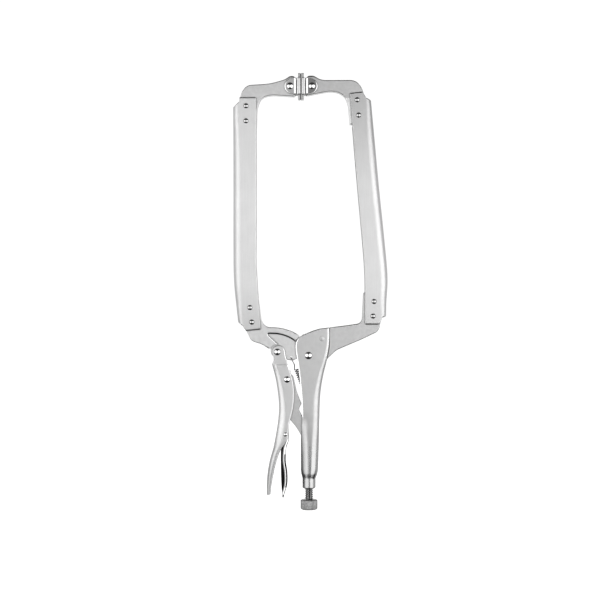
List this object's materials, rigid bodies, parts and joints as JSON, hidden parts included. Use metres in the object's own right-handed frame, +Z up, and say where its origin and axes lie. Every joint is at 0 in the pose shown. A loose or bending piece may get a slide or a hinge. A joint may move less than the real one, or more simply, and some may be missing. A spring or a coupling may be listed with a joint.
{
  "type": "locking c clamp",
  "caption": "Locking C-clamp with long channel arms, swivel pads, over-centre hand lever, release lever and knurled adjusting screw, shown closed and locked.",
  "frame": {"origin": "centre of the fixed pad's gripping face", "axes": "+Z up from the handles to the jaws, +X from the movable jaw towards the fixed jaw, +Y across the clamp's thickness"},
  "size_m": [0.1591, 0.0178, 0.4573],
  "materials": {
    "satin_nickel": "satin",
    "bright_nickel": "polished",
    "dark_steel": "satin"
  },
  "bodies": {
    "handle": {"fixed_handle": "satin_nickel", "fixed_jaw_base": "satin_nickel", "fixed_jaw_rivet": "satin_nickel", "fixed_arm_channel": "satin_nickel", "fixed_jaw_tip": "satin_nickel", "fixed_arm_rivet_1": "satin_nickel", "fixed_arm_rivet_2": "satin_nickel", "fixed_arm_rivet_3": "satin_nickel", "fixed_arm_rivet_4": "satin_nickel", "fixed_pad_rivet": "bright_nickel", "jaw_pivot_rivet": "bright_nickel"},
    "movable_jaw": {"movable_jaw_base": "satin_nickel", "movable_arm_channel": "satin_nickel", "movable_jaw_tip": "satin_nickel", "movable_arm_rivet_1": "satin_nickel", "movable_arm_rivet_2": "satin_nickel", "movable_arm_rivet_3": "satin_nickel", "movable_arm_rivet_4": "satin_nickel", "movable_pad_rivet": "bright_nickel", "lever_rivet": "bright_nickel", "jaw_spring": "bright_nickel"},
    "lever": {"hand_lever": "satin_nickel", "link_rivet": "bright_nickel", "release_rivet": "bright_nickel"},
    "link": {"center_link": "satin_nickel"},
    "release": {"release_lever": "bright_nickel"},
    "screw": {"adjusting_screw": "dark_steel"},
    "pad_fixed": {"fixed_pad": "bright_nickel"},
    "pad_movable": {"movable_pad": "bright_nickel"}
  },
  "joints": [
    {"name": "jaw_open", "type": "hinge", "parent": "handle", "child": "movable_jaw", "pos_m": [0.0068, 0, -0.2819], "axis": [0, -1, 0], "range_deg": [0, 30], "deforming": ["jaw_spring"]},
    {"name": "lever_swing", "type": "hinge", "parent": "movable_jaw", "child": "lever", "pos_m": [-0.0258, 0, -0.2782], "axis": [0, -1, 0], "range_deg": [-82, 0]},
    {"name": "link_fold", "type": "hinge", "parent": "lever", "child": "link", "pos_m": [-0.0157, 0, -0.307], "axis": [0, -1, 0], "range_deg": [0, 74.1]},
    {"name": "release_squeeze", "type": "hinge", "parent": "lever", "child": "release", "pos_m": [-0.0173, 0, -0.3645], "axis": [0, -1, 0], "range_deg": [-10, 0]},
    {"name": "screw_turn", "type": "hinge", "parent": "handle", "child": "screw", "pos_m": [0.0074, 0, -0.43], "axis": [0, 0, 1], "continuous": true},
    {"name": "fixed_pad_swivel", "type": "hinge", "parent": "handle", "child": "pad_fixed", "pos_m": [0.0104, 0, 0], "axis": [0, -1, 0], "range_deg": [0, 15]},
    {"name": "movable_pad_swivel", "type": "hinge", "parent": "movable_jaw", "child": "pad_movable", "pos_m": [-0.0125, 0, 0], "axis": [0, -1, 0], "range_deg": [-15, 0]}
  ],
  "couplings": [
    {"joint": "lever_swing", "follows": "jaw_open", "ratio": -2.73},
    {"joint": "link_fold", "follows": "jaw_open", "ratio": 2.467},
    {"joint": "fixed_pad_swivel", "follows": "jaw_open", "ratio": 0.5},
    {"joint": "movable_pad_swivel", "follows": "jaw_open", "ratio": -0.5}
  ]
}
